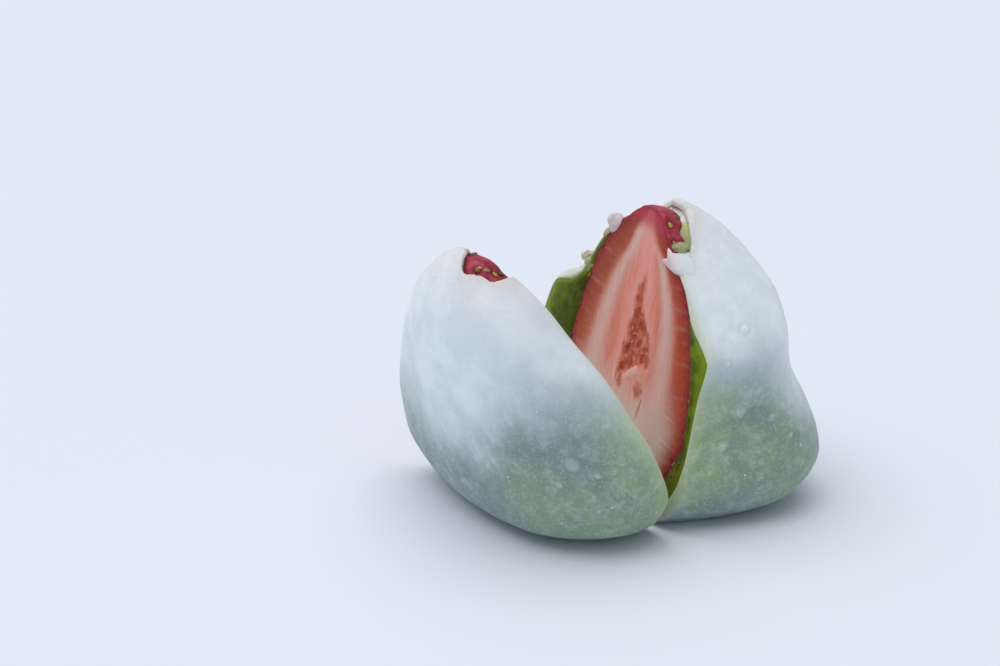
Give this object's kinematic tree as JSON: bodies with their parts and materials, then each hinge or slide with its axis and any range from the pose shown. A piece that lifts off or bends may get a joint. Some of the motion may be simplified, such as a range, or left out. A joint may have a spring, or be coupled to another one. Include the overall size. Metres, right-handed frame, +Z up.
{
  "type": "strawberry mochi rice cake",
  "caption": "Soft rice cake wrapped round green bean paste and a whole strawberry, cut in two through the berry; the halves stand opened in a V.",
  "frame": {"origin": "on the floor, under the centre of the bounding box of both halves", "axes": "+Z up; +X from the left half to the right half, across the opening of the V; +Y along the middle of the V toward its open back"},
  "size_m": [0.058, 0.0518, 0.0436],
  "materials": {
    "rice_skin": "dusted with starch",
    "green_paste": "moist and rough",
    "strawberry": "moist"
  },
  "bodies": {
    "root": {"right_skin": "rice_skin", "right_paste": "green_paste", "right_berry": "strawberry", "left_skin": "rice_skin", "left_paste": "green_paste", "left_berry": "strawberry"}
  },
  "joints": []
}
